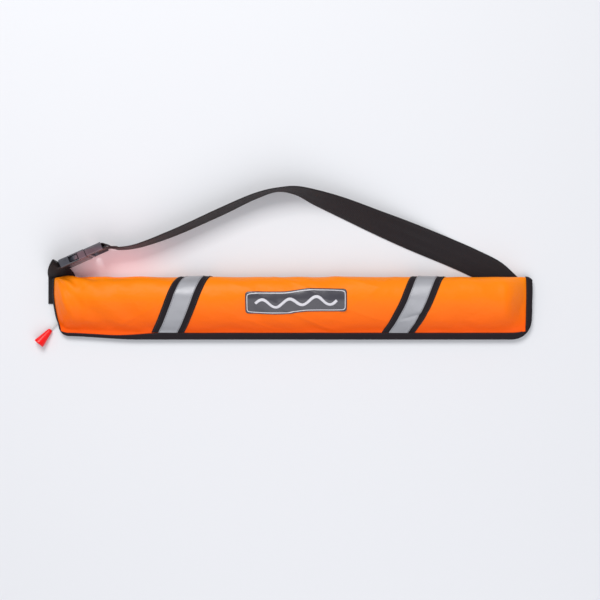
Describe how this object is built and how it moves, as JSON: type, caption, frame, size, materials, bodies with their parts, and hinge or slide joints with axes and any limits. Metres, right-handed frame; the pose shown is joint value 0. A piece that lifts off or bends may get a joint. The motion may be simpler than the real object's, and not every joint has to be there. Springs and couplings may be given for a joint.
{
  "type": "life jacket",
  "caption": "Belt-pack inflatable life jacket, packed: a long bound fabric pouch with reflective bands, webbing waist belt, side-release buckle and pull knob.",
  "frame": {"origin": "underside of the middle belt loop, on the belt's centreline, half way along the pouch", "axes": "+X along the pouch towards the belt's folded end, +Y towards the pouch's folded edge, +Z away from the wearer's back"},
  "size_m": [0.7046, 0.2246, 0.048],
  "materials": {
    "orange_nylon": "satin coated nylon, fine plain weave",
    "black_nylon": "matt nylon",
    "black_tape": "grosgrain tape, fine ribs",
    "closure_tape": "hook and loop tape",
    "reflective_tape": "silver glass-bead tape with fine lengthwise ribs",
    "badge_rubber": "soft moulded rubber, satin",
    "badge_print": "raised pale rubber",
    "buckle_plastic": "moulded acetal, satin",
    "webbing": "polypropylene webbing, ribbed weave",
    "cylinder_steel": "zinc plated",
    "seal_rubber": "moulded rubber",
    "inflator_plastic": "glass-filled nylon",
    "pin_steel": "stainless",
    "red_plastic": "smooth moulded plastic",
    "bladder_film": "coated nylon film",
    "lanyard_cord": "braided cord",
    "tube_rubber": "soft moulded rubber"
  },
  "bodies": {
    "pack": {"back_panel": "black_nylon", "back_binding": "black_tape", "loop_tape": "closure_tape", "belt_webbing": "webbing", "belt_short_end": "webbing", "belt_loop_left": "webbing", "belt_loop_middle": "webbing", "belt_loop_right": "webbing", "buckle_tongue": "buckle_plastic", "bladder": "bladder_film", "inflator_body": "inflator_plastic", "lever_pin": "pin_steel", "stem_flange": "bladder_film", "stem_gasket": "seal_rubber", "cap_nut": "inflator_plastic", "cylinder_seal": "seal_rubber", "oral_flange": "bladder_film", "oral_tube": "tube_rubber", "valve_body": "tube_rubber", "valve_spring": "pin_steel"},
    "cover": {"front_cover": "orange_nylon", "cover_binding": "black_tape", "hook_tape": "closure_tape", "band_left_backing": "black_tape", "band_left_silver": "reflective_tape", "band_right_backing": "black_tape", "band_right_silver": "reflective_tape", "badge": "badge_rubber", "badge_wave": "badge_print"},
    "socket": {"buckle_socket": "buckle_plastic"},
    "upper_prong": {"prong_upper": "buckle_plastic"},
    "lower_prong": {"prong_lower": "buckle_plastic"},
    "pull": {"pull_lanyard": "lanyard_cord", "pull_knob": "red_plastic"},
    "lever": {"inflator_lever": "red_plastic"},
    "pin": {"piercing_pin": "pin_steel"},
    "cylinder": {"gas_cylinder": "cylinder_steel"},
    "poppet": {"valve_poppet": "red_plastic"},
    "cap": {"dust_cap": "red_plastic"}
  },
  "joints": [
    {"name": "cover_open", "type": "hinge", "parent": "pack", "child": "cover", "pos_m": [0, 0.019, 0.0052], "axis": [-1, 0, 0], "range_deg": [0, 40]},
    {"name": "buckle_release", "type": "slide", "parent": "pack", "child": "socket", "axis": [-0.9135, -0.4067, 0], "range_m": [0, 0.035], "deforming": ["belt_short_end", "prong_upper", "prong_lower"]},
    {"name": "prong_upper_squeeze", "type": "hinge", "parent": "pack", "child": "upper_prong", "pos_m": [-0.28533, 0.05366, 0.0391], "axis": [-0.4067, 0.9135, 0], "range_deg": [0, 8], "stiffness_Nm_per_rad": 0.6},
    {"name": "prong_lower_squeeze", "type": "hinge", "parent": "pack", "child": "lower_prong", "pos_m": [-0.28533, 0.05366, 0.0089], "axis": [0.4067, -0.9135, 0], "range_deg": [0, 8], "stiffness_Nm_per_rad": 0.6},
    {"name": "knob_pull", "type": "slide", "parent": "pack", "child": "pull", "axis": [-0.6347, -0.7728, 0], "range_m": [0, 0.0132]},
    {"name": "lever_swing", "type": "hinge", "parent": "pack", "child": "lever", "pos_m": [-0.2943, -0.0196, 0.0225], "axis": [0, 0, 1], "range_deg": [0, 48]},
    {"name": "pin_drive", "type": "slide", "parent": "pack", "child": "pin", "axis": [1, 0, 0], "range_m": [0, 0.00132]},
    {"name": "cylinder_unscrew", "type": "hinge", "parent": "pack", "child": "cylinder", "pos_m": [-0.237, -0.004, 0.0225], "axis": [1, 0, 0], "continuous": true},
    {"name": "poppet_press", "type": "slide", "parent": "pack", "child": "poppet", "axis": [-1, 0, 0], "range_m": [0, 0.003], "stiffness_N_per_m": 300, "deforming": ["valve_spring"]},
    {"name": "cap_pull", "type": "slide", "parent": "pack", "child": "cap", "axis": [1, 0, 0], "range_m": [0, 0.014]}
  ],
  "couplings": [
    {"joint": "prong_lower_squeeze", "follows": "prong_upper_squeeze", "ratio": 1},
    {"joint": "lever_swing", "follows": "knob_pull", "rad_per_m": 63},
    {"joint": "pin_drive", "follows": "knob_pull", "ratio": 0.1}
  ]
}
